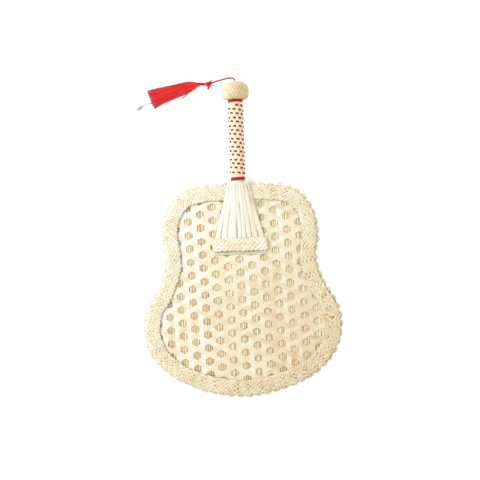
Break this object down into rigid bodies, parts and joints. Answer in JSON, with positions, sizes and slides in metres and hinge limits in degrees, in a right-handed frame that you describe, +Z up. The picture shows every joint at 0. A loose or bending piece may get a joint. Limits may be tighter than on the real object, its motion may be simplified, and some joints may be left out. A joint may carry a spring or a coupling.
{
  "type": "woven hand fan",
  "caption": "Straw hand fan with an open three-way woven panel, plaited border, laced round handle, knob and red tassel.",
  "frame": {"origin": "middle of the fan's outline, on the surface that it lies on, face up", "axes": "+Y along the handle towards the knob, +X to the right seen from the front, +Z up out of the front face"},
  "size_m": [0.2416, 0.3839, 0.0325],
  "materials": {
    "net_straw": "flat dried straw strips, satin",
    "plait": "plaited dried straw, matt",
    "mat_straw": "fine round straws, matt",
    "handle_straw": "flat dried straw, satin",
    "stick": "bare cane, matt",
    "red_thread": "twisted cotton thread",
    "tassel_red": "rayon thread, soft sheen",
    "grey_thread": "fine grey thread",
    "grey_tip": "flattened soft tip"
  },
  "bodies": {
    "fan": {"core_stick": "stick", "ground_straws": "mat_straw", "picot_edging": "plait", "front_net": "net_straw", "front_border": "plait", "front_skirt_band": "plait", "back_net": "net_straw", "back_border": "plait", "back_skirt_band": "plait", "handle_straw_01": "handle_straw", "handle_straw_02": "handle_straw", "handle_straw_03": "handle_straw", "handle_straw_04": "handle_straw", "handle_straw_05": "handle_straw", "handle_straw_06": "handle_straw", "handle_straw_07": "handle_straw", "handle_straw_08": "handle_straw", "handle_straw_09": "handle_straw", "handle_straw_10": "handle_straw", "handle_straw_11": "handle_straw", "handle_straw_12": "handle_straw", "handle_straw_13": "handle_straw", "handle_straw_14": "handle_straw", "handle_straw_15": "handle_straw", "handle_thread": "red_thread", "upper_band": "red_thread", "lower_band": "red_thread", "knob_core": "mat_straw", "knob_wrap": "plait"},
    "cord": {"tassel_cord": "tassel_red"},
    "tassel": {"tassel_knot": "tassel_red", "tassel_binding": "tassel_red", "tassel_fringe": "tassel_red", "tassel_end_thread": "grey_thread", "tassel_end_tip": "grey_tip"}
  },
  "joints": [
    {"name": "tassel_turn", "type": "hinge", "parent": "fan", "child": "cord", "pos_m": [0, 0.18977, 0.01666], "axis": [0, 0.9994, 0.0353], "range_deg": [0, 180]},
    {"name": "tassel_bend", "type": "hinge", "parent": "cord", "child": "tassel", "pos_m": [-0.0311, 0.18887, 0.0044], "axis": [0, 0, 1], "range_deg": [-45, 45]}
  ]
}
